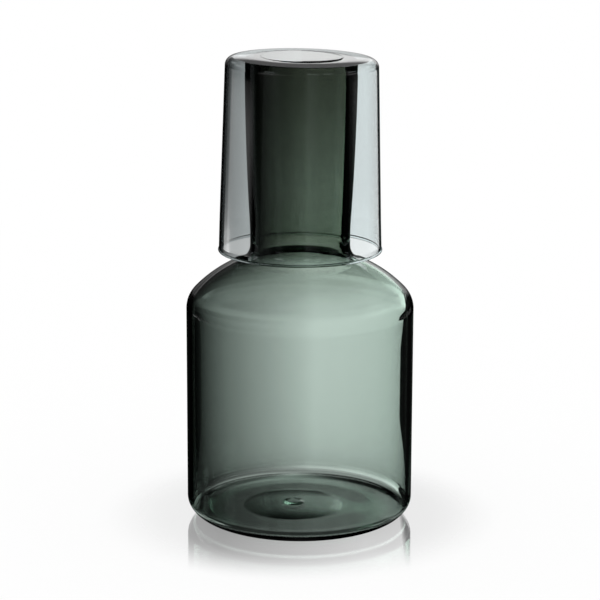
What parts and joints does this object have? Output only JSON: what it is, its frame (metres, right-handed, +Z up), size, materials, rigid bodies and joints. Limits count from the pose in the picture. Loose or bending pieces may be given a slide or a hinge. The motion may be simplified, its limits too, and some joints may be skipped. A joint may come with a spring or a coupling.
{
  "type": "bedside carafe with tumbler",
  "caption": "Blown glass bedside carafe with a straight body, domed shoulder and flared neck, and a tapered tumbler that sits upside down over the neck as its lid.",
  "frame": {"origin": "centre of the base, on the surface that the carafe stands on", "axes": "+Z up, along the axis that both pieces are turned about; X and Y are free, since both pieces are round"},
  "size_m": [0.106, 0.106, 0.218],
  "materials": {
    "smoked_glass": "gloss",
    "pale_glass": "gloss"
  },
  "bodies": {
    "carafe": {"carafe": "smoked_glass"},
    "tumbler": {"tumbler": "pale_glass"}
  },
  "joints": [
    {"name": "tumbler_lift", "type": "slide", "parent": "carafe", "child": "tumbler", "axis": [0, 0, 1], "range_m": [0, 0.1]}
  ]
}
